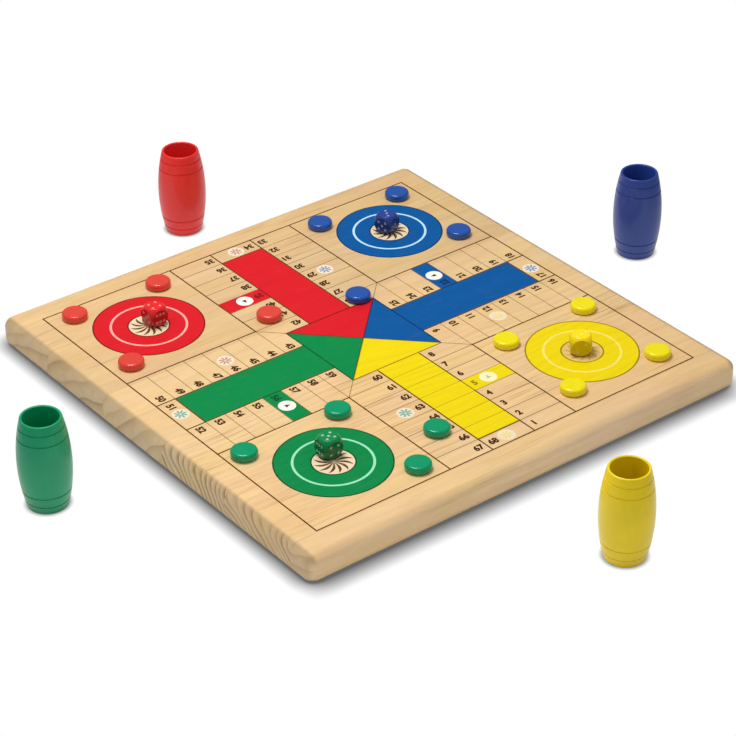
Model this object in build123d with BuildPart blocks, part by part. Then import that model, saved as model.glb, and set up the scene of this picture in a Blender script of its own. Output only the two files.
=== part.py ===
from build123d import *
import os
from math import sqrt

# A four-player ludo board with its counters, dice and throwing cups.
# Sizes are in millimetres and +Z is up. The origin is the centre of the board's underside.
# The board's staves run along X, and the yellow player sits at the front, on the -Y side.

# The board: one panel of pine staves, glued edge to edge and rounded over all round
board_side = 400.0
board_thickness = 23.0
board_edge_radius = 8.0
board_foot_radius = 6.5
board_corner_radius = 8.5
front_stave_width = 22.5
back_stave_width = 67.5
middle_staves = 4

# The print on the board's top
print_side = 352.0
ink_thickness = 0.1
border_line_width = 1.1
cell_line_width = 0.5
home_radius = 42.8
home_ring_radius = 29.2
home_ring_width = 1.9
medallion_radius = 16.0
disc_radius = 6.7

# The counters
counter_diameter = 20.0
counter_height = 6.3
counter_edge_radius = 2.2

# The dice: cubes whose corners and edges are rounded off by a ball
die_side = 16.0
die_rounding_diameter = 20.9
die_face_edge_radius = 0.5
pip_diameter = 2.4
pip_depth = 0.4
pip_pitch = 3.1

# The throwing cups
cup_height = 72.8
cup_end_diameter = 29.8
cup_belly_diameter = 39.1
cup_bore_diameter = 26.2
cup_floor_thickness = 6.0
cup_edge_radius = 0.8
cup_groove_radius = 0.55
cup_groove_from_end = 6.5
cup_groove_spacing = 8.0

# The layout follows the print: a square grid, with arms of three columns between the houses
cells_across = 21
columns_across = 9
home_cells = 7.0
centre_cells = 2.5
column_end_cells = 9.5
row_cells = 6.0
end_disc_cells = 10.0

cell = print_side / cells_across
column = print_side / columns_across
half_print = print_side / 2
home = home_cells * cell
arm_cells = cells_across / 2 - centre_cells
centre_diagonal = centre_cells * cell
print_plane = Plane.XY.offset(board_thickness)

# Each player's quarter turn from red, whose arm of the board points along +Y
player_turns = {"red": 0, "green": 90, "yellow": 180, "blue": 270}

# Where the counters lie, in print cells from the centre of the print, as X and Y
counter_places = {
    "red": [(-9.30, 9.65), (-4.72, 9.64), (-9.51, 4.62), (-2.31, 4.08)],
    "blue": [(4.61, 9.43), (9.38, 9.44), (9.38, 4.61), (1.92, 2.89)],
    "yellow": [(4.70, -4.45), (9.43, -4.35), (9.37, -9.39), (4.50, -9.20)],
    "green": [(-9.69, -4.31), (-4.65, -4.20), (-4.52, -9.61), (-2.19, -7.98)],
}

# Where the dice lie, in print cells, the degrees each is turned, and its values up, front and right
die_places = {
    "red": (-6.65, 7.00, 0.0, "four", "six", "two"),
    "blue": (6.93, 7.12, 22.0, "three", "one", "two"),
    "yellow": (6.89, -7.00, -38.0, "three", "two", "six"),
    "green": (-6.83, -6.46, -4.0, "five", "four", "one"),
}

# Where the cups stand: the side of the board, how far off it, and how far along it
cup_places = {
    "red": ("back", 61.4, 12.3),
    "blue": ("right", 79.0, -2.7),
    "yellow": ("front", 103.7, -9.3),
    "green": ("left", 85.3, -5.2),
}


# One stretch of a printed line, its middle at (x, y), turned by an angle in degrees
def line_stretch(x, y, length, width, angle=0.0):
    with Locations(Location((x, y), angle)):
        Rectangle(length, width)


# A ring, drawn by its middle radius and its width
def ring(x, y, radius, width):
    with Locations((x, y)):
        Circle(radius + width / 2)
        Circle(radius - width / 2, mode=Mode.SUBTRACT)


# Every printed line, drawn once for the arm and the house of one player and then turned
with BuildSketch() as lines:
    for angle in (45, -45):
        line_stretch(0, 0, 2 * centre_diagonal * sqrt(2), border_line_width, angle)
    with PolarLocations(0, len(player_turns)):
        ring(-home, home, home_radius, border_line_width)
        ring(-home, home, medallion_radius, border_line_width)
        line_stretch(0, half_print, print_side + border_line_width, border_line_width)
        line_stretch(0, centre_cells * cell, 2 * centre_cells * cell + border_line_width, border_line_width)
        line_stretch(0, column_end_cells * cell, column, border_line_width)
        corner_middle = (centre_diagonal + 1.5 * column) / 2
        corner_length = (1.5 * column - centre_diagonal) * sqrt(2)
        line_stretch(corner_middle, corner_middle, corner_length, cell_line_width, 45)
        for side in (-1, 1):
            house_edge = side * 1.5 * column
            line_stretch(house_edge, (half_print + 1.5 * column) / 2, half_print - 1.5 * column,
                         border_line_width, 90)
            line_stretch(side * column / 2, (half_print + centre_diagonal) / 2, arm_cells * cell,
                         border_line_width, 90)
            for step in range(1, int(arm_cells)):
                line_stretch(side * column, (centre_cells + step) * cell, column, cell_line_width)

# White ink: the ring round each home, and the discs under the marks of the safe cells
with BuildSketch() as whites:
    with PolarLocations(0, len(player_turns)):
        ring(-home, home, home_ring_radius, home_ring_width)
        with Locations((-column, row_cells * cell), (column, row_cells * cell), (0, end_disc_cells * cell)):
            Circle(disc_radius)

# One player's colour: the home, the arm's middle column, the starting cell and the goal
with BuildSketch() as colour_area:
    with Locations((-home, home)):
        Circle(home_radius)
        Circle(medallion_radius, mode=Mode.SUBTRACT)
    with Locations((0, (centre_cells + column_end_cells) / 2 * cell)):
        Rectangle(column, (column_end_cells - centre_cells) * cell)
    with Locations((-column, row_cells * cell)):
        Rectangle(column, cell)
    with BuildLine():
        Polyline((0, 0), (-centre_diagonal, centre_diagonal), (centre_diagonal, centre_diagonal), close=True)
    make_face()

# The board's blank, before it is divided into its staves
with BuildPart() as blank:
    with BuildSketch():
        RectangleRounded(board_side, board_side, board_corner_radius)
    extrude(amount=board_thickness)
    fillet(blank.faces().sort_by(Axis.Z)[-1].edges(), board_edge_radius)
    fillet(blank.faces().sort_by(Axis.Z)[0].edges(), board_foot_radius)

os.makedirs("parts", exist_ok=True)

# The staves, from the front edge to the back one, where the middle ones share what the outer two leave
front_joint = -board_side / 2 + front_stave_width
back_joint = board_side / 2 - back_stave_width
middle_stave_width = (back_joint - front_joint) / middle_staves
stave_joints = [front_joint + index * middle_stave_width for index in range(middle_staves + 1)]
stave_edges = [-board_side / 2] + stave_joints + [board_side / 2]
for index, (front, back) in enumerate(zip(stave_edges[:-1], stave_edges[1:]), start=1):
    with BuildPart() as stave:
        add(blank.part)
        with Locations((0, front, 0)):
            Box(board_side, back - front, board_thickness,
                align=(Align.CENTER, Align.MIN, Align.MIN), mode=Mode.INTERSECT)
    stave.part.label = f"stave_{index}"
    export_step(stave.part, f"parts/{stave.part.label}.step")

# The films of ink: lines, white, and one for each player's colour
with BuildPart() as ink_lines:
    with BuildSketch(print_plane):
        add(lines.sketch)
    extrude(amount=ink_thickness)
ink_lines.part.label = "ink_lines"
export_step(ink_lines.part, "parts/ink_lines.step")

with BuildPart() as ink_white:
    with BuildSketch(print_plane):
        add(whites.sketch)
        add(lines.sketch, mode=Mode.SUBTRACT)
    extrude(amount=ink_thickness)
ink_white.part.label = "ink_white"
export_step(ink_white.part, "parts/ink_white.step")

films = [ink_lines.part, ink_white.part]
for player, turn in player_turns.items():
    with BuildPart() as ink:
        with BuildSketch(print_plane):
            add(colour_area.sketch, rotation=turn)
            add(lines.sketch, mode=Mode.SUBTRACT)
            add(whites.sketch, mode=Mode.SUBTRACT)
        extrude(amount=ink_thickness)
    films.append(ink.part)
    ink.part.label = f"ink_{player}"
    export_step(ink.part, f"parts/{ink.part.label}.step")


# The height at which a piece lies: on the ink where any reaches under its foot, else on the wood
def seat_height(x, y, foot_radius):
    foot = print_plane * Pos(x, y) * Circle(foot_radius)
    on_ink = any(film.distance_to(foot) == 0 for film in films)
    return board_thickness + (ink_thickness if on_ink else 0)


# The counters: flat discs with rounded edges, each lying on the print
for player, places in counter_places.items():
    for number, (across, along) in enumerate(places, start=1):
        x, y = across * cell, along * cell
        seat = seat_height(x, y, counter_diameter / 2)
        with BuildPart(Plane((x, y, seat))) as counter:
            Cylinder(counter_diameter / 2, counter_height, align=(Align.CENTER, Align.CENTER, Align.MIN))
            fillet(counter.edges().filter_by(GeomType.CIRCLE), counter_edge_radius)
        counter.part.label = f"counter_{player}_{number}"
        export_step(counter.part, f"parts/{counter.part.label}.step")

# Where the pips of each value stand, in steps of the pip pitch from the face's middle
pip_steps = {
    "one": [(0, 0)],
    "two": [(-1, -1), (1, 1)],
    "three": [(-1, -1), (0, 0), (1, 1)],
    "four": [(-1, -1), (-1, 1), (1, -1), (1, 1)],
    "five": [(-1, -1), (-1, 1), (0, 0), (1, -1), (1, 1)],
    "six": [(-1, -1), (0, -1), (1, -1), (-1, 1), (0, 1), (1, 1)],
}

# The value on the far side of the die, where each pair of opposite faces adds up to seven
far_value = {"one": "six", "two": "five", "three": "four", "four": "three", "five": "two", "six": "one"}

half_die = die_side / 2
die_foot_radius = sqrt((die_rounding_diameter / 2) ** 2 - half_die ** 2)

# A pip is a shallow cap of a ball, whose centre stands off the face
pip_ball_radius = ((pip_diameter / 2) ** 2 + pip_depth ** 2) / (2 * pip_depth)

# The dice
for player, (across, along, turn, up, front, right) in die_places.items():
    x, y = across * cell, along * cell
    seat = seat_height(x, y, die_foot_radius)
    die_frame = Plane(Location((x, y, seat + half_die), (0, 0, turn)))
    outward = {
        up: (0, 0, 1), far_value[up]: (0, 0, -1),
        front: (0, -1, 0), far_value[front]: (0, 1, 0),
        right: (1, 0, 0), far_value[right]: (-1, 0, 0),
    }
    with BuildPart(die_frame) as die:
        Box(die_side, die_side, die_side)
        Sphere(die_rounding_diameter / 2, mode=Mode.INTERSECT)
        fillet(die.edges().filter_by(GeomType.CIRCLE), die_face_edge_radius)
        for value, normal in outward.items():
            face_across = (1, 0, 0) if normal[0] == 0 else (0, 1, 0)
            ball_middle = Vector(normal) * (half_die + pip_ball_radius - pip_depth)
            with Locations(Plane(ball_middle, face_across, normal)):
                with Locations([(pip_pitch * column_step, pip_pitch * row_step)
                                for column_step, row_step in pip_steps[value]]):
                    Sphere(pip_ball_radius, mode=Mode.SUBTRACT)
    die.part.label = f"die_{player}"
    export_step(die.part, f"parts/{die.part.label}.step")

# The cups: turned barrels with a straight bore, a rounded rim and two grooves near each end
cup_end_radius = cup_end_diameter / 2
cup_belly_radius = cup_belly_diameter / 2
cup_bore_radius = cup_bore_diameter / 2
groove_heights = [cup_groove_from_end, cup_groove_from_end + cup_groove_spacing]
groove_heights += [cup_height - height for height in groove_heights]

# The barrel's side is one arc through both ends and the belly
belly_rise = cup_belly_radius - cup_end_radius
side_arc_radius = ((cup_height / 2) ** 2 + belly_rise ** 2) / (2 * belly_rise)


# The barrel's outer radius at a height above the ground
def barrel_radius(height):
    arc_centre = cup_belly_radius - side_arc_radius
    return arc_centre + sqrt(side_arc_radius ** 2 - (height - cup_height / 2) ** 2)


for player, (side, gap, along) in cup_places.items():
    off_centre = board_side / 2 + gap
    cup_spot = {
        "front": (along, -off_centre),
        "back": (along, off_centre),
        "left": (-off_centre, along),
        "right": (off_centre, along),
    }[side]
    with BuildPart() as cup:
        with BuildSketch(Plane((*cup_spot, 0), x_dir=(1, 0, 0), z_dir=(0, -1, 0))) as profile:
            with BuildLine():
                ThreePointArc((cup_end_radius, 0), (cup_belly_radius, cup_height / 2),
                              (cup_end_radius, cup_height))
                Polyline((cup_end_radius, cup_height), (cup_bore_radius, cup_height),
                         (cup_bore_radius, cup_floor_thickness), (0, cup_floor_thickness), (0, 0),
                         (cup_end_radius, 0))
            make_face()
            corners = profile.vertices().group_by(Axis.Y)
            fillet(corners[-1] + corners[0].sort_by(Axis.X)[-1:], cup_edge_radius)
            with Locations([(barrel_radius(height), height) for height in groove_heights]):
                Circle(cup_groove_radius, mode=Mode.SUBTRACT)
        revolve(axis=Axis((*cup_spot, 0), (0, 0, 1)))
    cup.part.label = f"cup_{player}"
    export_step(cup.part, f"parts/{cup.part.label}.step")
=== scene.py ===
from math import cos, radians, sin

import bpy
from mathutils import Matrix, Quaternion, Vector


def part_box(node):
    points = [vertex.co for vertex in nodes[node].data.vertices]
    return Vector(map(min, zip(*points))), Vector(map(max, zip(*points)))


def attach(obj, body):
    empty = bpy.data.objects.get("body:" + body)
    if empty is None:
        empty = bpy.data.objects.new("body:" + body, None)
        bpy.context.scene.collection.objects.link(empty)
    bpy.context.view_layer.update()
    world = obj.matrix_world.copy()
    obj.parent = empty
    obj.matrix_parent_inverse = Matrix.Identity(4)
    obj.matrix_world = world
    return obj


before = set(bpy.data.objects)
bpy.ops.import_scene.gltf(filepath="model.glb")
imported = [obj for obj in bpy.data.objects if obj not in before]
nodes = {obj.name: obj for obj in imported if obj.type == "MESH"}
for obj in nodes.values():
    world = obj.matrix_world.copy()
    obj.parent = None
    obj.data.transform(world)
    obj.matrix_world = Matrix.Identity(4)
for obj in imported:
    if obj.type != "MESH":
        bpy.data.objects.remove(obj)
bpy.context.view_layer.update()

# A wooden ludo board with its counters, dice and throwing cups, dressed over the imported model.
# Lengths in the dictionaries are millimetres, colours are screen values from 0 to 255.

mm = 0.001
print("frame loaded with", len(nodes), "nodes")


def colour(red, green, blue):  # screen values to the linear ones that a shader takes
    parts = [part / 255 for part in (red, green, blue)]
    linear = [((part + 0.055) / 1.055) ** 2.4 if part > 0.04 else part / 12.92 for part in parts]
    return (*linear, 1.0)


class Wire:  # the output of a node; arithmetic on it adds Math nodes
    def __init__(self, bench, socket):
        self.bench = bench
        self.socket = socket

    def math(self, operation, *others):
        return self.bench.node("ShaderNodeMath", {"operation": operation}, [self, *others])

    def __add__(self, other):
        return self.math("ADD", other)

    def __radd__(self, other):
        return self.math("ADD", other)

    def __mul__(self, other):
        return self.math("MULTIPLY", other)

    def __rmul__(self, other):
        return self.math("MULTIPLY", other)

    def __sub__(self, other):
        return self.math("SUBTRACT", other)

    def __rsub__(self, other):
        return self.bench.node("ShaderNodeMath", {"operation": "SUBTRACT"}, [other, self])

    def __truediv__(self, other):
        return self.math("DIVIDE", other)

    def __gt__(self, other):
        return self.math("GREATER_THAN", other)

    def __lt__(self, other):
        return self.math("LESS_THAN", other)

    def __abs__(self):
        return self.math("ABSOLUTE")

    def rise(self, low, high):  # 0 below low, 1 above high, smooth between
        settings = {"interpolation_type": "SMOOTHSTEP"}
        inputs = {"Value": self, "From Min": low, "From Max": high}
        return self.bench.node("ShaderNodeMapRange", settings, inputs)

    def stretch(self, x, y, z):  # for a vector
        return self.bench.node("ShaderNodeVectorMath", {"operation": "MULTIPLY"}, [self, (x, y, z)])

    def shift(self, x, y, z):
        return self.bench.node("ShaderNodeVectorMath", {"operation": "ADD"}, [self, (x, y, z)])

    def length(self):
        return self.bench.node("ShaderNodeVectorMath", {"operation": "LENGTH"}, [self])

    def parts(self):
        return [self.bench.node("ShaderNodeSeparateXYZ", {}, [self], axis) for axis in range(3)]


class Bench:  # adds nodes to one node tree
    def __init__(self, tree):
        self.tree = tree

    def feed(self, socket, value):
        if isinstance(value, Wire):
            self.tree.links.new(value.socket, socket)
        else:
            socket.default_value = value

    def setStops(self, ramp, stops):  # stops are pairs of a place and a grey
        for place, grey in stops[1:-1]:
            ramp.elements.new(place).color = (grey, grey, grey, 1)
        for element, (place, grey) in ((ramp.elements[0], stops[0]), (ramp.elements[-1], stops[-1])):
            element.position = place
            element.color = (grey, grey, grey, 1)

    def node(self, kind, settings={}, inputs=(), output=None):
        made = self.tree.nodes.new(kind)
        for name, value in settings.items():
            if name == "stops":
                self.setStops(made.color_ramp, value)
            else:
                setattr(made, name, value)
        for key, value in inputs.items() if isinstance(inputs, dict) else enumerate(inputs):
            named = (socket for socket in made.inputs if socket.name == key and socket.enabled)
            self.feed(made.inputs[key] if isinstance(key, int) else next(named), value)
        if output is not None:
            return Wire(self, made.outputs[output])
        return Wire(self, next(socket for socket in made.outputs if socket.enabled))

    def place(self):  # where a point is, in millimetres
        metres = self.node("ShaderNodeTexCoord", {}, (), "Object")
        return metres.stretch(1 / mm, 1 / mm, 1 / mm)

    def facing(self):  # the way the surface faces, as three shares
        return self.node("ShaderNodeTexCoord", {}, (), "Normal").parts()

    def noise(self, vector, scale=1.0, detail=2.0, roughness=0.5):
        sockets = {"Vector": vector, "Scale": scale, "Detail": detail, "Roughness": roughness}
        return self.node("ShaderNodeTexNoise", {}, sockets)

    def join(self, x, y, z):
        return self.node("ShaderNodeCombineXYZ", {}, [x, y, z])

    def mix(self, share, first, second, blend="MIX"):
        settings = {"data_type": "RGBA", "blend_type": blend}
        return self.node("ShaderNodeMix", settings, {"Factor": share, "A": first, "B": second})

    def shade(self, base, strength):  # a colour made lighter or darker by a number near 1
        return self.mix(1.0, base, strength, "MULTIPLY")

    def bump(self, height, strength, depth):  # depth in millimetres
        inputs = {"Height": height, "Strength": strength, "Distance": depth * mm}
        return self.node("ShaderNodeBump", {}, inputs)


def makeFinish(name, paint, **constants):
    # A material: paint(bench) gives what varies, and the constants are set on the shader itself
    made = bpy.data.materials.new(name)
    made.use_nodes = True
    bench = Bench(made.node_tree)
    shader = made.node_tree.nodes["Principled BSDF"]
    for socket, value in constants.items():
        shader.inputs[socket.replace("_", " ")].default_value = value
    for socket, value in paint(bench).items():
        bench.feed(shader.inputs[socket], value)
    return made


def dress(name, material):  # gives a carried-over node its material
    mesh = nodes[name].data
    mesh.materials.clear()
    mesh.materials.append(material)


# The print's own sizes follow from the model
printLook = {
    "border line": 1.1,
    "cells across": 21,
    "columns across": 9,
    "row cells": 6.0,      # from the middle out to the row of the safe cells
    "end cells": 10.0,     # from the middle out to the row at the border
    "first row cells": 3.0,  # from the middle out to the innermost row
    "star cells": 2.6,     # from the middle out to past the star
    "column end cells": 9.4,
    "home cells": 7.0,
    "home reach": 46,      # all of a home's print lies nearer to its middle than this
    "medallion radius": 15.4,
    "exit mark reach": 8,
    "way out reach cells": 0.46,  # round the middle of the joint where a way out leaves its column
}
linesLow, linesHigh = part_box("ink_lines")
printSide = (linesHigh.x - linesLow.x) / mm - printLook["border line"]
cell = printSide / printLook["cells across"]
column = printSide / printLook["columns across"]
homeOut = printLook["home cells"] * cell  # how far out from the middle, each way, a home lies
woodTop = linesLow.z / mm
inkTop = linesHigh.z / mm
arms = {"red": 0, "green": 90, "yellow": 180, "blue": 270}  # how far each is turned from the one along +Y
staveNames = sorted(name for name in nodes if name.startswith("stave_"))
joints = [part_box(name)[0].y / mm for name in staveNames[1:]]

# The pine. For each stave from the front: where its heart lay in Y and Z, how wide its growth rings are,
# how strongly they show, how light its wood is and how far the rings drift over the length
pineLook = {
    "early wood": colour(241, 207, 156),
    "late wood": colour(190, 132, 74),
    "rosy wood": colour(232, 180, 132),
    "golden wood": colour(240, 200, 122),
    "streak": colour(150, 98, 56),
    "staves": [
        {"y": -230, "z": -200, "ring": 8.0, "strength": 0.45, "streaks": 0.5, "tone": 0.98, "drift": 0.01},
        {"y": -30, "z": -98, "ring": 5.6, "strength": 0.85, "streaks": 0.7, "tone": 1.0, "drift": 0.015},
        {"y": 22, "z": -60, "ring": 5.2, "strength": 1.0, "streaks": 1.0, "tone": 0.985, "drift": -0.03},
        {"y": -49, "z": -75, "ring": 12.0, "strength": 0.5, "streaks": 0.4, "tone": 0.95, "drift": 0.02},
        {"y": 20, "z": -120, "ring": 14.0, "strength": 0.5, "streaks": 0.4, "tone": 0.865, "drift": -0.015},
        {"y": 100, "z": -200, "ring": 10.0, "strength": 0.5, "streaks": 0.6, "tone": 0.88, "drift": 0.01},
    ],
    "ring share on top": 0.36,   # how much of the late wood's colour shows on long grain
    "ring share on ends": 1.35,  # and on end grain
    "streak share": 0.52,
    # painted cool fill light on the end grain, lighter and bluer there
    "end grain cool fill": (1.0, 1.08, 1.26, 1.0),
    "end contrast": 0.35,        # how much the rings stand out there beyond their colour
    "rounded end shade": 0.40,   # painted shade along the upper rounding of the ends
    "flat end shade": 0.23,      # and on the flat of the end, the end grain's own darker tone with painted shade
    "side cool fill": (1.06, 1.13, 1.30, 1.0),  # painted cool fill light on the long sides
    "paler to the left": 0.05,  # share of light that the wood gains over half the board's width
    "medallion wash": colour(255, 242, 214),  # a thin pale print behind each rosette
    "yellow medallion wash": colour(236, 204, 84),
    "medallion wash share": 0.5,
    "wash depth": 0.3,           # the wash lies on the top only
    "joint width": 0.22,
    "joint shade": 0.80,
    "wander": 26,                # how far the rings stray in broad waves
    "ripple": 1.6,               # and in fine ones
    "ring stops": [(0.0, 0.10), (0.12, 0.0), (0.45, 0.08), (0.78, 0.55), (0.93, 1.0), (1.0, 0.10)],
    "fibre contrast": 0.16,
    "mottle contrast": 0.28,
    "pore contrast": 0.10,
}


def pineGrain(bench):
    # The rings, fibres and patches of the wood at a point, the same for the bare wood and under the ink
    place = bench.place()
    x, y, z = place.parts()
    past = [y > joint for joint in joints]
    index = past[0]
    for step in past[1:]:
        index = index + step

    def ofStave(key):
        values = [stave[key] for stave in pineLook["staves"]]
        wire = past[0].math("MULTIPLY_ADD", values[1] - values[0], values[0])
        for step, before, after in zip(past[1:], values[1:], values[2:]):
            wire = step.math("MULTIPLY_ADD", after - before, wire)
        return wire

    own = bench.join(x + index * 311, y + index * 57, z)  # so that no two staves are alike
    wander = (bench.noise(own.stretch(0.006, 0.016, 0.016)) - 0.5) * pineLook["wander"]
    ripple = (bench.noise(own.stretch(0.03, 0.12, 0.12)) - 0.5) * pineLook["ripple"]
    out = y - ofStave("y") - x * ofStave("drift")
    fromHeart = bench.join(0.0, out, z - ofStave("z")).length() + wander + ripple
    turn = fromHeart / ofStave("ring")
    number = turn.math("FLOOR")
    ring = bench.node("ShaderNodeValToRGB", {"stops": pineLook["ring stops"]}, [turn - number])
    own1 = bench.node("ShaderNodeTexWhiteNoise", {"noise_dimensions": "1D"}, {"W": number + index * 31})
    late = ring * (own1 * 0.65 + 0.35) * ofStave("strength")
    fibre = bench.noise(own.stretch(0.02, 1.1, 1.1), detail=3.0, roughness=0.65)
    pores = bench.noise(own.stretch(0.05, 2.6, 2.6), detail=1.0).rise(0.66, 0.76)
    patch = bench.noise(own.stretch(0.006, 0.028, 0.028), detail=3.0)
    golden = bench.noise(own.stretch(0.009, 0.034, 0.034).shift(40, 0, 0), detail=2.0)
    gathered = bench.noise(own.stretch(0.010, 0.030, 0.030).shift(80, 0, 0), detail=1.0).rise(0.40, 0.62)
    streaks = bench.noise(own.stretch(0.018, 0.52, 0.52), detail=3.0).rise(0.50, 0.74)
    streaks = streaks * gathered * ofStave("streaks")
    mottle = bench.noise(own.stretch(0.022, 0.13, 0.13).shift(0, 20, 0), detail=4.0, roughness=0.6)
    return {
        "late": late, "fibre": fibre, "pores": pores, "patch": patch, "golden": golden, "streaks": streaks,
        "mottle": mottle, "tone": ofStave("tone"), "x": x, "y": y,
    }


def pinePaint(bench):
    grain = pineGrain(bench)
    endways, sideways, up = [abs(part) for part in bench.facing()]
    ends = endways.rise(0.15, 0.8)
    sides = sideways.rise(0.45, 0.95)
    onTop, onEnds = pineLook["ring share on top"], pineLook["ring share on ends"]
    share = ends * (onEnds - onTop) + onTop
    wood = bench.mix(grain["late"] * share, pineLook["early wood"], pineLook["late wood"])
    wood = bench.mix((grain["patch"] - 0.5) * 1.3 + 0.22, wood, pineLook["rosy wood"])
    wood = bench.mix((grain["golden"] - 0.5) * 1.2 + 0.20, wood, pineLook["golden wood"])
    wood = bench.mix(grain["streaks"] * (1 - ends) * pineLook["streak share"], wood, pineLook["streak"])
    fibres = (grain["fibre"] - 0.5) * pineLook["fibre contrast"]
    light = fibres + (grain["mottle"] - 0.5) * pineLook["mottle contrast"] + grain["tone"]
    light = light * (1 - grain["pores"] * pineLook["pore contrast"])
    light = light * (1 - grain["x"] / 200 * pineLook["paler to the left"])
    # painted shade on the ends: most where the rounding faces partly up, less on the flat
    rounded = up.rise(0.05, 0.75)
    onRound = endways.rise(0.05, 0.5) * rounded * pineLook["rounded end shade"]
    onFlat = endways.rise(0.3, 0.95) * (1 - rounded) * pineLook["flat end shade"]
    light = light * (1 - onRound - onFlat) + ends * (0.30 - grain["late"]) * pineLook["end contrast"]
    for joint in joints:
        near = abs(grain["y"] - joint) < pineLook["joint width"]
        light = light * (1 - near * (1 - pineLook["joint shade"]))
    wood = bench.shade(wood, light)
    # painted cool fill light on the end grain
    wood = bench.mix(ends, wood, bench.shade(wood, pineLook["end grain cool fill"]))
    # painted cool fill light on the long sides
    wood = bench.mix(sides, wood, bench.shade(wood, pineLook["side cool fill"]))
    x, y, z = bench.place().parts()
    fromHome = bench.join(abs(x) - homeOut, abs(y) - homeOut, 0.0).length()
    washed = (fromHome < printLook["medallion radius"]) * (z > woodTop - pineLook["wash depth"])
    wash = bench.mix((x > 0) * (y < 0), pineLook["medallion wash"], pineLook["yellow medallion wash"])
    wood = bench.mix(washed * pineLook["medallion wash share"], wood, wash)
    height = grain["fibre"] * 0.5 + grain["late"] * 0.4 - grain["pores"] * 0.6
    return {
        "Base Color": wood,
        "Roughness": grain["fibre"] * 0.16 + ends * 0.12 + 0.36,
        "Normal": bench.bump(height, 0.5, 0.06),
    }


pine = makeFinish("pine", pinePaint, Specular_IOR_Level=0.3)
for name in staveNames:
    dress(name, pine)
print("pine on", len(staveNames), "staves")

# The printing inks, which let a little of the grain through
inkLook = {
    "lines": colour(98, 58, 14),
    "white": colour(250, 248, 238),
    "numbers": colour(72, 40, 12),
    "red": colour(221, 26, 38),
    "blue": colour(0, 88, 158),
    "green": colour(0, 139, 72),
    "yellow": colour(243, 217, 0),
    "rings": {  # the thin white rings take on some of the player's colour
        "red": colour(255, 176, 162),
        "blue": colour(192, 230, 255),
        "green": colour(160, 238, 194),
        "yellow": colour(253, 233, 108),
    },
    "overprint": {  # the lines nearly go under where both sides are inked
        "red": colour(128, 22, 24),
        "blue": colour(6, 48, 104),
        "green": colour(10, 84, 42),
        "yellow": colour(158, 130, 14),
    },
    "thin in cells": 0.22,  # how much wood shows through the thin lines between the cells
    "inner line reach": 0.7,  # half the width of the thicker line beside the cells, and a little
    "outer line reach": 0.8,
    "grain through": 0.10,  # how much the late wood darkens the ink over it
    "marks": {  # the safe marks are thin, so that the white under them shows
        "red": colour(208, 150, 142),
        "blue": colour(126, 154, 196),
        "green": colour(120, 182, 166),
        "yellow": colour(242, 220, 140),
    },
    "yellow exit": colour(250, 243, 196),
    "yellow exit wedge": colour(212, 192, 128),
    "safe disc cover": 0.46,  # how well the white under the safe marks hides the wood
    "yellow cell line": 0.6,  # the cells of the yellow column show as faint lines
    "yellow cell share": 0.5,
}
inkSheen = 0.12


def turned(x, y, degrees):  # a place on the board turned about its middle
    angle = radians(degrees)
    return x * cos(angle) - y * sin(angle), x * sin(angle) + y * cos(angle)


def playerAt(bench, x, y, colours):  # the colour of the player in whose corner a point lies
    left = bench.mix(y > 0, colours["green"], colours["red"])
    right = bench.mix(y > 0, colours["yellow"], colours["blue"])
    return bench.mix(x > 0, left, right)


def inkSurface(bench, base):
    grain = pineGrain(bench)
    thin = bench.noise(bench.place(), 0.45, 3.0)  # uneven film
    rings = grain["late"] * inkLook["grain through"]
    light = (grain["fibre"] - 0.5) * 0.10 - rings + (thin - 0.5) * 0.10 + 1.0
    base = bench.mix(grain["pores"] * 0.16, base, pineLook["late wood"])
    height = grain["fibre"] * 0.4 + grain["late"] * 0.3 + thin * 0.2
    return {
        "Base Color": bench.shade(base, light),
        "Roughness": grain["fibre"] * 0.14 + thin * 0.10 + 0.30,
        "Normal": bench.bump(height, 0.4, 0.04),
    }


def armAt(bench, x, y, colours):  # the colour of the player along whose arm a point lies
    across = bench.mix(x > 0, colours["green"], colours["blue"])
    along = bench.mix(y > 0, colours["yellow"], colours["red"])
    return bench.mix(abs(y) > abs(x), across, along)


def linePaint(bench):
    x, y, z = bench.place().parts()
    reach = abs(x).math("MAXIMUM", abs(y))
    aside = abs(x).math("MINIMUM", abs(y))
    betweenInks = reach < printLook["star cells"] * cell
    for turn in arms.values():  # and where each way out leaves its column
        outX, outY = turned(-column / 2, printLook["row cells"] * cell, turn)
        near = printLook["way out reach cells"] * cell
        betweenInks = (abs(x - outX) < near) * (abs(y - outY) < near) + betweenInks
    inner, outer = inkLook["inner line reach"], inkLook["outer line reach"]
    inRow = (aside > column / 2 + inner) * (aside < column * 1.5 - outer)
    inCells = inRow * (reach < printSide / 2 - outer)
    thin = inCells * inkLook["thin in cells"] * (1 - (betweenInks > 0.5))
    ink = bench.mix(thin, inkLook["lines"], pineLook["early wood"])
    ink = bench.mix(betweenInks > 0.5, ink, armAt(bench, x, y, inkLook["overprint"]))
    inHome = bench.join(abs(x) - homeOut, abs(y) - homeOut, 0.0).length() < printLook["home reach"]
    return inkSurface(bench, bench.mix(inHome, ink, playerAt(bench, x, y, inkLook["overprint"])))


def wedgePaint(bench):
    x, y, z = bench.place().parts()
    return inkSurface(bench, bench.mix((x > 0) * (y < 0), inkLook["lines"], inkLook["yellow exit wedge"]))


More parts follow.
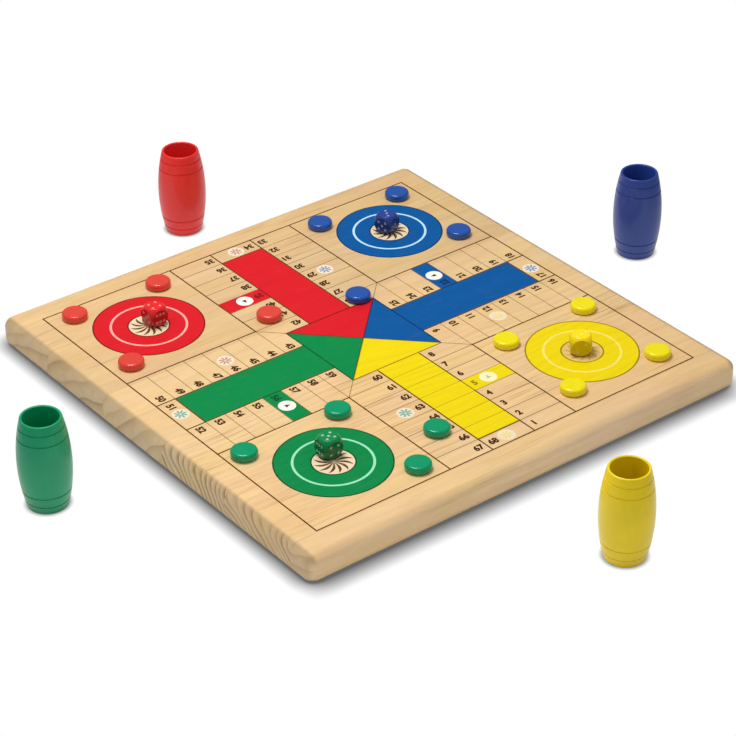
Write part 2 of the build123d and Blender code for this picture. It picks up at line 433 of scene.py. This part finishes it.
def whitePaint(bench):
    x, y, z = bench.place().parts()
    tinted = playerAt(bench, x, y, inkLook["rings"])
    inHome = bench.join(abs(x) - homeOut, abs(y) - homeOut, 0.0).length() < printLook["home reach"]
    onExit = 0.0
    for turn in arms.values():
        exitX, exitY = turned(-column, printLook["row cells"] * cell, turn)
        onExit = (bench.join(x - exitX, y - exitY, 0.0).length() < printLook["exit mark reach"]) + onExit
    washed = bench.mix(inkLook["safe disc cover"], pineLook["early wood"], inkLook["white"])
    exitWhite = bench.mix((x > 0) * (y < 0), inkLook["white"], inkLook["yellow exit"])
    white = bench.mix(onExit, washed, exitWhite)
    return inkSurface(bench, bench.mix(inHome, white, tinted))


def yellowPaint(bench):
    x, y, z = bench.place().parts()
    row = y / cell + 0.5
    near = abs(row - row.math("ROUND")) < inkLook["yellow cell line"] / 2 / cell
    alongIt = (y < -printLook["star cells"] * cell) * (y > -printLook["column end cells"] * cell)
    inColumn = (abs(x) < column / 2) * alongIt
    inked = bench.mix(near * inColumn * inkLook["yellow cell share"], inkLook["yellow"], inkLook["lines"])
    return inkSurface(bench, inked)


def flatPaint(ink):
    return lambda bench: inkSurface(bench, ink)


def makeInk(name, paint):
    return makeFinish(name, paint, Specular_IOR_Level=inkSheen)


lineInk = makeInk("line_ink", linePaint)
numberInk = makeInk("number_ink", flatPaint(inkLook["numbers"]))
inks = {player: makeInk(player + "_ink", flatPaint(inkLook[player])) for player in ("red", "green", "blue")}
inks["yellow"] = makeInk("yellow_ink", yellowPaint)
markInks = {player: makeInk(player + "_mark_ink", flatPaint(inkLook["marks"][player])) for player in arms}
dress("ink_lines", lineInk)
dress("ink_white", makeInk("white_ink", whitePaint))
for player in arms:
    dress("ink_" + player, inks[player])
print("inks on the print")

# The marks printed on top are thin films of their own
markLook = {
    "film": 0.02,
    "sunk": 0.01,  # how far a film reaches into what it lies on
    "weld": 0.001,  # points nearer than this are merged
}


def clearSelection():
    bpy.ops.object.select_all(action="DESELECT")


def setMark(made, x, y, top, turn):  # lays a flat mesh, modelled round the origin, on the board
    made.location = (x * mm, y * mm, (top - markLook["sunk"]) * mm)
    made.rotation_euler = (0, 0, radians(turn))
    return made


def onePiece(parts, name, material):  # joins flat films to one piece of the board
    clearSelection()
    for part in parts:
        part.select_set(True)
    bpy.context.view_layer.objects.active = parts[0]
    bpy.ops.object.transform_apply(location=True, rotation=True, scale=True)
    if len(parts) > 1:
        bpy.ops.object.join()
    made = bpy.context.object
    made.name = name
    made.data.name = name
    bpy.ops.object.mode_set(mode="EDIT")
    bpy.ops.mesh.select_all(action="SELECT")
    bpy.ops.mesh.remove_doubles(threshold=markLook["weld"] * mm)
    bpy.ops.mesh.normals_make_consistent(inside=False)
    bpy.ops.object.mode_set(mode="OBJECT")
    made.data.materials.clear()
    made.data.materials.append(material)
    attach(made, "board")
    return made


def copyOf(made):
    twin = made.copy()
    twin.data = made.data.copy()
    bpy.context.collection.objects.link(twin)
    return twin


# The numbers of the sixty-eight cells of the track
numberLook = {
    "digit size": 8.2,
    "narrowing": 0.94,
    "boldness": 0.052,
    "steps on curves": 3,
    "beside the column": 25.9,  # from the arm's middle line
    "beside the end mark": 12.5,
    "first": {"red": 26, "blue": 9, "green": 43, "yellow": 60},
    "cells": 68,
    "rows": 8,
    "exit row": 3,
}


def numeral(number, x, y, turn, top):
    clearSelection()
    bpy.ops.object.text_add()
    text = bpy.context.object
    text.data.body = str(number)
    text.data.size = numberLook["digit size"] * mm
    text.data.offset = numberLook["boldness"] * numberLook["digit size"] * mm
    text.data.extrude = (markLook["film"] + markLook["sunk"]) / 2 * mm
    text.data.resolution_u = numberLook["steps on curves"]
    bpy.ops.object.convert(target="MESH")
    bpy.ops.object.origin_set(type="ORIGIN_GEOMETRY", center="BOUNDS")
    made = bpy.context.object
    made.scale.x = numberLook["narrowing"]
    setMark(made, *turned(x, y, turn), top + (markLook["film"] + markLook["sunk"]) / 2, turn + 180)
    return made


def armNumerals(player, turn):
    first = numberLook["first"][player]
    side = numberLook["beside the column"]
    made = []
    for row in range(numberLook["rows"]):
        y = (printLook["first row cells"] + row) * cell
        made.append(numeral(first + row, side, y, turn, woodTop))
        other = (first + 2 * numberLook["rows"] - row - 1) % numberLook["cells"] + 1
        if row == numberLook["exit row"]:
            exitInk = makeInk(player + "_overprint_ink", flatPaint(inkLook["overprint"][player]))
            onInk = numeral(other, -side, y, turn, inkTop)
            onePiece([onInk], "exit_numeral_" + player, exitInk)
        else:
            made.append(numeral(other, -side, y, turn, woodTop))
    endX = numberLook["beside the end mark"]
    made.append(numeral(first + numberLook["rows"], endX, printLook["end cells"] * cell, turn, woodTop))
    return onePiece(made, "numerals_" + player, numberInk)


for player, turn in arms.items():
    armNumerals(player, turn)
print("numerals printed")

# The marks of the safe cells: eight petals round a middle
safeLook = {
    "petals": 8,
    "sides of a petal": 12,
    "inner": 0.7,
    "outer": 5.3,
    "width": 1.5,
    "tip starts": 0.5,  # from a petal's middle
    "widest towards the tip": 1.35,
    "beside": {"red": "blue", "blue": "yellow", "yellow": "green", "green": "red"},
}


def flatDisc(halfLength, halfWidth, sides):
    # A filled, thickened outline, its underside at the height of the origin
    clearSelection()
    bpy.ops.mesh.primitive_circle_add(vertices=sides, radius=1.0, fill_type="NGON")
    made = bpy.context.object
    bpy.ops.object.mode_set(mode="EDIT")
    bpy.ops.mesh.select_all(action="SELECT")
    bpy.ops.transform.resize(value=(halfLength * mm, halfWidth * mm, 1), center_override=(0, 0, 0))
    lift = (0, 0, (markLook["film"] + markLook["sunk"]) * mm)
    bpy.ops.mesh.extrude_region_move(TRANSFORM_OT_translate={"value": lift})
    bpy.ops.object.mode_set(mode="OBJECT")
    return made


def selectWhere(made, test):  # selects the points of a mesh whose place passes a test, in millimetres
    bpy.ops.object.mode_set(mode="EDIT")
    bpy.ops.mesh.select_mode(type="VERT")
    bpy.ops.mesh.select_all(action="DESELECT")
    bpy.ops.object.mode_set(mode="OBJECT")
    for vertex in made.data.vertices:
        vertex.select = test(vertex.co / mm)
    bpy.ops.object.mode_set(mode="EDIT")


def petalStar():
    middle = (safeLook["inner"] + safeLook["outer"]) / 2
    halfLength = (safeLook["outer"] - safeLook["inner"]) / 2
    petal = flatDisc(halfLength, safeLook["width"] / 2, safeLook["sides of a petal"])
    selectWhere(petal, lambda point: point.x > safeLook["tip starts"])
    bpy.ops.transform.resize(value=(1, safeLook["widest towards the tip"], 1), center_override=(0, 0, 0))
    bpy.ops.mesh.select_all(action="SELECT")
    bpy.ops.transform.translate(value=(middle * mm, 0, 0))
    bpy.ops.object.mode_set(mode="OBJECT")
    petals = [petal]
    for count in range(1, safeLook["petals"]):
        petals.append(copyOf(petal))
        petals[-1].rotation_euler = (0, 0, radians(360 / safeLook["petals"] * count))
    clearSelection()
    for part in petals:
        part.select_set(True)
    bpy.context.view_layer.objects.active = petal
    bpy.ops.object.transform_apply(location=True, rotation=True, scale=True)
    bpy.ops.object.join()
    return bpy.context.object


star = petalStar()
for player, turn in arms.items():
    endX, endY = turned(0, printLook["end cells"] * cell, turn)
    marks = [setMark(copyOf(star), endX, endY, inkTop, turn)]
    beside = next(other for other, shown in safeLook["beside"].items() if shown == player)
    sideX, sideY = turned(column, printLook["row cells"] * cell, arms[beside])
    marks.append(setMark(copyOf(star), sideX, sideY, inkTop, arms[beside]))
    onePiece(marks, "safe_marks_" + player, markInks[player])
bpy.data.objects.remove(star)
print("safe marks printed")

# The small wedge on each way out, which points to the middle of the board
wedgeLook = {"across": 2.2, "along": 3.1, "corners": 3}
wedges = []
for turn in arms.values():
    wedge = flatDisc(wedgeLook["across"], wedgeLook["along"], wedgeLook["corners"])
    outX, outY = turned(-column, printLook["row cells"] * cell, turn)
    wedges.append(setMark(wedge, outX, outY, inkTop, turn + 180))
onePiece(wedges, "exit_marks", makeInk("wedge_ink", wedgePaint))

# The rosette in the middle of each home: curved blades round an open middle
rosetteLook = {
    "blades": 12,
    "inner": 1.8,
    "outer": 14.4,
    "width": 2.3,
    "segments": 8,
    "root width share": 0.22,
    "tip width share": 0.12,
    "belly": 1.4,  # above 1, a blade is widest past its middle
    "lag": 20,     # degrees that the tip lags behind the root
    "ink": colour(104, 72, 40),
    "yellow's ink": colour(212, 176, 92),  # much paler than the others'
}
rosetteInk = makeInk("rosette_ink", flatPaint(rosetteLook["ink"]))
rosetteInks = {player: rosetteInk for player in arms}
rosetteInks["yellow"] = makeInk("ochre_ink", flatPaint(rosetteLook["yellow's ink"]))


def rosetteBlade():
    length = rosetteLook["outer"] - rosetteLook["inner"]
    clearSelection()
    bpy.ops.mesh.primitive_grid_add(x_subdivisions=rosetteLook["segments"], y_subdivisions=1, size=1.0)
    blade = bpy.context.object
    bpy.ops.object.mode_set(mode="EDIT")
    bpy.ops.mesh.select_all(action="SELECT")
    bpy.ops.transform.translate(value=(0.5, 0, 0))
    bpy.ops.transform.resize(value=(length * mm, rosetteLook["width"] * mm, 1), center_override=(0, 0, 0))
    bpy.ops.transform.translate(value=(rosetteLook["inner"] * mm, 0, 0))
    for segment in range(rosetteLook["segments"] + 1):
        share = segment / rosetteLook["segments"]
        along = rosetteLook["inner"] + share * length
        selectWhere(blade, lambda point: abs(point.x - along) < 0.1)
        bulge = (1 - rosetteLook["root width share"]) * sin(radians(180 * share ** rosetteLook["belly"]))
        width = rosetteLook["root width share"] + bulge if share < 1 else rosetteLook["tip width share"]
        bpy.ops.transform.resize(value=(1, width, 1), center_override=(along * mm, 0, 0))
    for segment in range(rosetteLook["segments"], 0, -1):
        share = segment / rosetteLook["segments"]
        along = rosetteLook["inner"] + share * length
        selectWhere(blade, lambda point: abs(point.x - along) < 0.1 and abs(point.y) < rosetteLook["width"])
        bend = radians(rosetteLook["lag"]) * share ** 2
        bpy.ops.transform.rotate(value=bend, orient_axis="Z", center_override=(0, 0, 0))
    bpy.ops.mesh.select_all(action="SELECT")
    lift = (0, 0, (markLook["film"] + markLook["sunk"]) * mm)
    bpy.ops.mesh.extrude_region_move(TRANSFORM_OT_translate={"value": lift})
    bpy.ops.object.mode_set(mode="OBJECT")
    return blade


blade = rosetteBlade()
for player, turn in arms.items():
    homeX, homeY = turned(-homeOut, homeOut, turn)
    step = 360 / rosetteLook["blades"]
    turns = [step * count for count in range(rosetteLook["blades"])]
    blades = [setMark(copyOf(blade), homeX, homeY, woodTop, blown) for blown in turns]
    onePiece(blades, "rosette_" + player, rosetteInks[player])
bpy.data.objects.remove(blade)
print("exit marks and rosettes printed")

# The counters: glossy moulded plastic
counterLook = {
    "red": colour(226, 70, 58),
    "blue": colour(36, 84, 168),
    "green": colour(0, 156, 105),
    "yellow": colour(247, 230, 8),
    "roughness": 0.21,
}


def plasticPaint(base):
    def paint(bench):
        place = bench.place()
        cloud = bench.noise(place, 0.16, 3.0)
        grit = bench.noise(place, 2.2, 3.0, 0.6)
        return {
            "Base Color": bench.shade(base, (cloud - 0.5) * 0.12 + 1.0),
            "Roughness": cloud * 0.10 + grit * 0.10 + counterLook["roughness"] - 0.10,
            "Normal": bench.bump(grit, 0.25, 0.05),
        }
    return paint


for player in arms:
    paint = plasticPaint(counterLook[player])
    plastic = makeFinish(player + "_counter_plastic", paint, Specular_IOR_Level=0.45)
    for name in nodes:
        if name.startswith("counter_" + player):
            dress(name, plastic)
print("counters dressed")

# The dice: the same plastic, darker, with pale paint in the pips
dieLook = {
    "red": colour(200, 30, 30),
    "blue": colour(34, 54, 124),
    "green": colour(4, 118, 66),
    "yellow": colour(225, 196, 0),
    "turns": {"red": 0, "blue": 22, "yellow": -38, "green": -4},
    "pip paint": colour(240, 236, 222),
    "pip cover": {"red": 0.32, "blue": 0.36, "green": 0.50, "yellow": 0.24},  # how well it covers
    "painted light on top": 0.45,        # painted light: the top faces made lighter
    "side shade": 0.18,      # and painted shade: the sides made darker
    "face depth": 0.06,      # deeper than this below a face, a point is in a pip
    "pip reach": 10.3,       # a little less than the radius of the rounding
}


def diePaint(player):
    low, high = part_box("die_" + player)
    centre = (low + high) / 2 / mm
    half = (high.z - low.z) / 2 / mm

    def paint(bench):
        place = bench.place()
        spot = bench.node("ShaderNodeVectorMath", {"operation": "SUBTRACT"}, [place, tuple(centre)])
        turn = {"rotation_type": "Z_AXIS"}
        inputs = {"Vector": spot, "Angle": radians(-dieLook["turns"][player])}
        own = bench.node("ShaderNodeVectorRotate", turn, inputs)
        x, y, z = [abs(part) for part in own.parts()]
        reach = x.math("MAXIMUM", y).math("MAXIMUM", z)
        pip = (reach < half - dieLook["face depth"]) * (own.length() < dieLook["pip reach"])
        cloud = bench.noise(place, 0.25, 3.0)
        grit = bench.noise(place, 2.5, 3.0, 0.6)
        # painted light and shade: lighter where the die faces up, darker at the sides
        upward = bench.facing()[2].rise(0.0, 0.95)
        paintedLight = upward * (dieLook["painted light on top"] + dieLook["side shade"]) + 1 - dieLook["side shade"]
        shown = bench.shade(dieLook[player], (cloud - 0.5) * 0.14 + paintedLight)
        return {
            "Base Color": bench.mix(pip * dieLook["pip cover"][player], shown, dieLook["pip paint"]),
            "Roughness": pip * 0.25 + cloud * 0.10 + grit * 0.08 + 0.14,
            "Normal": bench.bump(grit, 0.2, 0.04),
        }
    return paint


for player in arms:
    dress("die_" + player, makeFinish(player + "_die_plastic", diePaint(player), Specular_IOR_Level=0.5))
print("dice dressed")

# The cups: turned wood under a coat of satin paint
cupGloss = {"Specular_IOR_Level": 0.34, "Coat_Weight": 0.26, "Coat_Roughness": 0.14}
cupLook = {
    "red": colour(238, 46, 42),
    "blue": colour(40, 68, 148),
    "green": colour(0, 162, 108),
    "yellow": colour(255, 224, 0),
    "inside reach": 13.3,  # a little more than the bore's radius
    "rim depth": 0.5,      # the inside starts this far below the top
    "inside": {"red": 1.1, "blue": 1.25, "green": 1.2, "yellow": 0.86},  # painted light and shade inside each cup, as a factor on its colour
}


def cupPaint(player):
    low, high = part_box("cup_" + player)

    def paint(bench):
        place = bench.place()
        x, y, z = place.parts()
        cloud = bench.noise(place, 0.05, 3.0)
        grain = bench.noise(place.stretch(0.9, 0.9, 0.07), detail=3.0)  # the wood's grain under the paint
        lathe = bench.noise(bench.join(0.0, 0.0, z), 1.6, 2.0)          # fine rings left by turning
        light = (cloud - 0.5) * 0.16 + (grain - 0.5) * 0.10 + 1.0
        fromAxis = bench.join(x - (low.x + high.x) / 2 / mm, y - (low.y + high.y) / 2 / mm, 0.0).length()
        inside = (fromAxis < cupLook["inside reach"]) * (z < high.z / mm - cupLook["rim depth"])
        # painted light inside the cups, lighter for most and darker for yellow
        light = light * (inside * (cupLook["inside"][player] - 1) + 1)
        return {
            "Base Color": bench.shade(cupLook[player], light),
            "Roughness": cloud * 0.14 + grain * 0.10 + 0.26,
            "Normal": bench.bump(lathe * 0.7 + grain * 0.5, 0.35, 0.10),
        }
    return paint


for player in arms:
    dress("cup_" + player, makeFinish(player + "_cup_paint", cupPaint(player), **cupGloss))
print("cups dressed")

# The floor, the lamps and the camera
studio = {
    "floor side": 14000,
    "floor bounce": colour(232, 232, 232),  # how pale the object sees the floor
    "board shadow": {"reach": 18, "power": 2.35},  # soft, along the board's front
    "shadow off the front": {"reach": 12.5, "power": 1.75},  # lighter on its other sides
    "corner blend": 12,  # half of the stretch over which one gives way to the other at the corners
    "cup shadow": {"reach": 3.5, "power": 1.1},  # and a tighter one round what stands off it
    "darkest shadow": 0.13,
    "shadow samples": 16,
    "board zone": 235,       # as far out from the middle as the board's shadow goes
    "sky low": 0.37,
    "sky high": 0.48,
    "sky in gloss": 0.15,    # how pale a reflection sees the sky
    "near floor": 250,       # a reflection sees the floor dimmer from here out
    "far floor": 560,
    "far floor shade": 0.14,
    "lamp place": (-120, 230, 1280),
    "lamp side": 520,
    "lamp power": 11.8,
}


def seenDirectly(bench):  # 1 where the camera, a reflection or a clear body looks, 0 for light that bounces
    kinds = ("Is Camera Ray", "Is Glossy Ray", "Is Transmission Ray")
    rays = [bench.node("ShaderNodeLightPath", {}, (), kind) for kind in kinds]
    return rays[0].math("MAXIMUM", rays[1]).math("MAXIMUM", rays[2])


def contactShade(bench, reach, power):
    settings = {"samples": studio["shadow samples"]}
    openness = bench.node("ShaderNodeAmbientOcclusion", settings, {"Distance": reach * mm}, "AO")
    return openness.math("POWER", power)


def dressFloor():
    clearSelection()
    bpy.ops.mesh.primitive_plane_add(size=studio["floor side"] * mm, location=(0, 0, 0))
    floor = bpy.context.object
    floor.name = "floor"

    def paint(bench):
        seen = seenDirectly(bench)
        x, y, z = bench.place().parts()
        byCup = abs(x).math("MAXIMUM", abs(y)) > studio["board zone"]
        look, aside = studio["board shadow"], studio["shadow off the front"]
        blend = studio["corner blend"]
        offFront = (y - x).rise(-blend, blend).math("MAXIMUM", (y + x).rise(-2 * blend, 0))
        reach, power = [offFront * (aside[key] - look[key]) + look[key] for key in ("reach", "power")]
        board = contactShade(bench, reach, power)
        cup = contactShade(bench, studio["cup shadow"]["reach"], studio["cup shadow"]["power"])
        pale = (board + byCup * (cup - board)).math("MAXIMUM", studio["darkest shadow"])
        glossy = bench.node("ShaderNodeLightPath", {}, (), "Is Glossy Ray")
        far = bench.join(x, y, 0.0).length().rise(studio["near floor"], studio["far floor"])
        pale = pale * (1 - glossy * far * (1 - studio["far floor shade"]))
        black = (0, 0, 0, 1)
        return {
            "Base Color": bench.mix(seen, studio["floor bounce"], black),
            "Emission Color": bench.mix(seen, black, bench.join(pale, pale, pale)),
        }

    paper = makeFinish("paper_floor", paint, Roughness=1.0, Specular_IOR_Level=0.0, Emission_Strength=1.0)
    floor.data.materials.append(paper)


def dressSky():
    world = bpy.data.worlds.new("studio_sky")
    bpy.context.scene.world = world
    world.use_nodes = True
    bench = Bench(world.node_tree)
    background = world.node_tree.nodes["Background"]
    up = bench.node("ShaderNodeTexCoord", {}, (), "Generated").parts()[2]
    sky = up.rise(0.0, 0.8) * (studio["sky high"] - studio["sky low"]) + studio["sky low"]
    seen = seenDirectly(bench)
    glossy = bench.node("ShaderNodeLightPath", {}, (), "Is Glossy Ray")
    backdrop = 1 - glossy * (1 - studio["sky in gloss"])
    bench.feed(background.inputs["Strength"], sky * (1 - seen) + backdrop * seen)
    background.inputs["Color"].default_value = (1, 1, 1, 1)


def hangLamp():
    clearSelection()
    bpy.ops.object.light_add(type="AREA", location=Vector(studio["lamp place"]) * mm)
    lamp = bpy.context.object
    lamp.name = "softbox"
    lamp.data.shape = "SQUARE"
    lamp.data.size = studio["lamp side"] * mm
    lamp.data.energy = studio["lamp power"]


dressFloor()
dressSky()
hangLamp()

cameraLook = {
    "target": (-23.264, -35.69, 23.13),
    "distance": 1907.7,
    "azimuth": -37.397,
    "elevation": 32.598,
    "roll": 0.658,
    "lens": 125.14,
    "sensor": 36.0,
    "sees as far as": 100,  # metres
}


def setCamera():
    around, above = radians(cameraLook["azimuth"]), radians(cameraLook["elevation"])
    back = Vector((sin(around) * cos(above), -cos(around) * cos(above), sin(above)))
    clearSelection()
    bpy.ops.object.camera_add(location=(Vector(cameraLook["target"]) + back * cameraLook["distance"]) * mm)
    camera = bpy.context.object
    camera.rotation_mode = "QUATERNION"
    roll = Quaternion((0, 0, 1), radians(-cameraLook["roll"]))
    camera.rotation_quaternion = back.to_track_quat("Z", "Y") @ roll
    camera.data.lens = cameraLook["lens"]
    camera.data.sensor_width = cameraLook["sensor"]
    camera.data.clip_end = cameraLook["sees as far as"]
    bpy.context.scene.camera = camera


setCamera()
bpy.context.scene.view_settings.view_transform = "Standard"
print("studio set")
